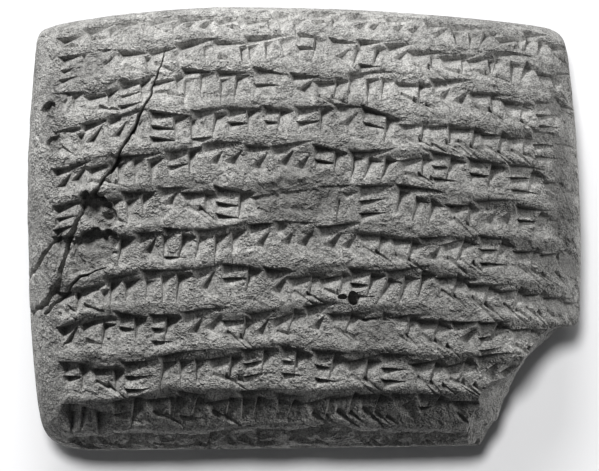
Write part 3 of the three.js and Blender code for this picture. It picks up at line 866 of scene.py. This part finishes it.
def stain_group():
    """Broad tone: where the clay fired lighter or took up dirt, from two sizes of noise."""
    tree, graph, given, result = effect_group(
        "Clay Stains", (("Vector", "NodeSocketVector", None),), (("Tone", "NodeSocketFloat"),))
    broad = graph.noise(given.outputs["Vector"], 70.0, 3.0, 0.5)
    patch = graph.noise(given.outputs["Vector"], 260.0, 4.0, 0.6)
    graph.feed(result, "Tone", graph.math("ADD", graph.math("MULTIPLY", broad, 0.6),
                                          graph.math("MULTIPLY", patch, 0.4)))
    return tree


def clay_material(look):
    """Dry clay: grained and stained, with painted shade in the strokes and cracks, and darker worn
    spots and break.
    """
    material = bpy.data.materials.new("dry clay")
    material.use_nodes = True
    tree = material.node_tree
    graph = Graph(tree)
    shader = tree.nodes["Principled BSDF"]
    place = graph.add("ShaderNodeTexCoord").outputs["Object"]

    grain = graph.add("ShaderNodeGroup", {"node_tree": grain_group()}, Vector=place)
    stain = graph.add("ShaderNodeGroup", {"node_tree": stain_group()}, Vector=place)
    clay = graph.mix(graph.ramp(stain.outputs["Tone"], 0.36, 0.64), (*look.dark_clay, 1),
                     (*look.light_clay, 1))
    grained = graph.mix(look.grain_contrast, clay,
                        graph.ramp(grain.outputs["Tone"], 0.3, 0.7, 0.0, 1.0), "OVERLAY")
    # Painted shade: the strokes and cracks are darkened by their depth (the cut mask), standing in
    # for the shadow inside them.
    recess = graph.ramp(graph.mask("cut"), 0.02, 0.7, 0.0, look.recess_shade)
    recess_shaded = graph.mix(recess, grained, (*look.shade_and_dirt, 1))
    # The same dark tone then darkens the worn spots and the broken face.
    worn = graph.mix(graph.math("MULTIPLY", graph.mask("worn"), look.worn_dirt), recess_shaded,
                     (*look.shade_and_dirt, 1))
    broken = graph.mix(graph.math("MULTIPLY", graph.mask("fracture"), 0.35), worn,
                       (*look.shade_and_dirt, 1))
    graph.feed(shader, "Base Color", broken)
    graph.feed(shader, "Roughness", graph.ramp(grain.outputs["Tone"], 0.2, 0.8, 0.98, 0.84))
    shader.inputs["Specular IOR Level"].default_value = 0.25
    pressed = graph.ramp(graph.mask("cut"), 0.03, 0.3, 1.0, 0.35)
    bump = graph.add("ShaderNodeBump", None, Height=grain.outputs["Height"],
                     Strength=graph.math("MULTIPLY", pressed, look.grain_depth),
                     Distance=0.0011)
    graph.feed(shader, "Normal", bump.outputs["Normal"])
    return material


def plain_material(name, colour, roughness):
    """One colour and one roughness."""
    material = bpy.data.materials.new(name)
    material.use_nodes = True
    shader = material.node_tree.nodes["Principled BSDF"]
    shader.inputs["Base Color"].default_value = (*colour, 1)
    shader.inputs["Roughness"].default_value = roughness
    return material


# ---- Settings ----
class TabletLook(bpy.types.PropertyGroup):
    """Colours and grain of the clay."""

    light_clay: bpy.props.FloatVectorProperty(
        name="Light Clay", description="Where the clay is cleanest", subtype="COLOR",
        default=(0.42, 0.415, 0.40), min=0, max=1)
    dark_clay: bpy.props.FloatVectorProperty(
        name="Dark Clay", description="Where the clay is stained", subtype="COLOR",
        default=(0.27, 0.267, 0.257), min=0, max=1)
    # A dark tone: painted shade in the strokes and cracks, and the darker tone of the worn spots
    # and the break.
    shade_and_dirt: bpy.props.FloatVectorProperty(
        name="Dirt", description="Painted shade in the strokes and cracks, and the darker tone of worn spots and the break", subtype="COLOR",
        default=(0.11, 0.108, 0.104), min=0, max=1)
    grain_contrast: bpy.props.FloatProperty(
        name="Grain Contrast", description="How strongly light and dark grains show",
        default=0.68, min=0, max=1, subtype="FACTOR")
    grain_depth: bpy.props.FloatProperty(
        name="Grain Depth", description="How rough the grain looks",
        default=0.8, min=0, max=1, subtype="FACTOR")
    # How strongly painted shade darkens the strokes and cracks.
    recess_shade: bpy.props.FloatProperty(
        name="Recess Shade", description="How much painted shade darkens the strokes and cracks",
        default=0.5, min=0, max=1, subtype="FACTOR")
    worn_dirt: bpy.props.FloatProperty(
        name="Worn Dirt", description="How dark the worn spots are",
        default=0.45, min=0, max=1, subtype="FACTOR")


class TabletForm(bpy.types.PropertyGroup):
    """Fineness of the surface."""

    budget: bpy.props.IntProperty(
        name="Triangles", description="How many triangles the finished skin may have",
        default=186000, min=20000, max=199000)


class TabletStudio(bpy.types.PropertyGroup):
    """Floor, lights and camera."""

    floor_tone: bpy.props.FloatVectorProperty(
        name="Floor", description="Colour of the floor", subtype="COLOR",
        default=(0.86, 0.86, 0.87), min=0, max=1)
    key_power: bpy.props.FloatProperty(
        name="Key Power", description="Power of the raking light", default=0.46, min=0,
        unit="POWER")
    floor_power: bpy.props.FloatProperty(
        name="Floor Power", description="Power of the light on the floor", default=5.6, min=0,
        unit="POWER")
    world_strength: bpy.props.FloatProperty(
        name="Surroundings", description="Brightness of the surroundings", default=0.055, min=0)


# ---- Operators ----
class TABLET_OT_clay(bpy.types.Operator):
    """Builds the tablet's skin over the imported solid"""

    bl_idname = "tablet.clay"
    bl_label = "Clay Tablet"

    def execute(self, context):
        piece = build_tablet(context.scene.tablet_form.budget)
        piece.data.materials.clear()
        piece.data.materials.append(clay_material(context.scene.tablet_look))
        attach(piece, "root")
        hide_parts(NODE)
        return {"FINISHED"}


def aim(piece, target):
    """Turns a light or a camera so that it looks at a point."""
    direction = Vector(target) - piece.location
    piece.rotation_euler = direction.to_track_quat("-Z", "Y").to_euler()


def area_light(name, place, size, power, target, receivers):
    """A round light aimed at a point, which lights only the objects of one collection."""
    light = bpy.data.lights.new(name, "AREA")
    light.shape = "DISK"
    light.size = size
    light.energy = power
    lamp = bpy.data.objects.new(name, light)
    bpy.context.collection.objects.link(lamp)
    lamp.location = place
    aim(lamp, target)
    lamp.light_linking.receiver_collection = receivers


def collection_of(name, piece):
    """A collection that holds one object, for the lights that reach it alone."""
    holder = bpy.data.collections.new(name)
    holder.objects.link(piece)
    return holder


class TABLET_OT_studio(bpy.types.Operator):
    """Lays the pale floor and sets the lights and the camera"""

    bl_idname = "tablet.studio"
    bl_label = "Studio"

    def execute(self, context):
        studio = context.scene.tablet_studio
        half = FLOOR_HALF / MM
        corners = np.array([(-half, -half, 0), (half, -half, 0), (half, half, 0), (-half, half, 0)])
        floor = add_object("floor", mesh_from("floor", corners, [np.array([[0, 1, 2, 3]])]))
        floor.location.z = -FLOOR_GAP
        floor.data.materials.append(plain_material("paper", studio.floor_tone, 0.9))

        middle = (0, 0, THICKNESS * MM * 0.7)
        clay = bpy.data.objects["tablet_clay"]
        for piece, lights, power in ((clay, CLAY_LIGHTS, studio.key_power),
                                     (floor, FLOOR_LIGHTS, studio.floor_power)):
            receivers = collection_of(f"lit {piece.name}", piece)
            for name, (place, size, share) in lights.items():
                area_light(name, place, size, power * share, middle, receivers)

        world = bpy.data.worlds.new("surroundings")
        context.scene.world = world
        world.use_nodes = True
        background = world.node_tree.nodes["Background"]
        background.inputs["Color"].default_value = (0.9, 0.92, 0.95, 1)
        background.inputs["Strength"].default_value = studio.world_strength

        camera = bpy.data.objects.new("camera", bpy.data.cameras.new("camera"))
        context.collection.objects.link(camera)
        context.scene.camera = camera
        camera.location = CAMERA_PLACE
        to_rim = CAMERA_PLACE[2] - BACK_DROP * MM
        camera.data.angle = 2 * math.atan(WIDTH * MM * FRAME_SHARE / 2 / to_rim)
        camera.data.clip_start = 0.01
        context.scene.view_settings.view_transform = "Standard"
        return {"FINISHED"}


class TABLET_PT_panel(bpy.types.Panel):
    """Lists the steps that build the tablet"""

    bl_idname = "TABLET_PT_panel"
    bl_label = "Clay Tablet"
    bl_space_type = "VIEW_3D"
    bl_region_type = "UI"
    bl_category = "Tablet"

    def draw(self, context):
        for settings, step in ((context.scene.tablet_form, TABLET_OT_clay),
                               (context.scene.tablet_studio, TABLET_OT_studio)):
            self.layout.operator(step.bl_idname)
            for name in settings.__annotations__:
                self.layout.prop(settings, name)


CLASSES = (TabletLook, TabletForm, TabletStudio, TABLET_OT_clay, TABLET_OT_studio,
           TABLET_PT_panel)
SETTINGS = {"tablet_look": TabletLook, "tablet_form": TabletForm, "tablet_studio": TabletStudio}


def register():
    for item in CLASSES:
        bpy.utils.register_class(item)
    for name, group in SETTINGS.items():
        setattr(bpy.types.Scene, name, bpy.props.PointerProperty(type=group))


def unregister():
    for name in SETTINGS:
        delattr(bpy.types.Scene, name)
    for item in reversed(CLASSES):
        bpy.utils.unregister_class(item)


def main():
    register()
    bpy.ops.tablet.clay()
    bpy.ops.tablet.studio()


if __name__ == "__main__":
    main()
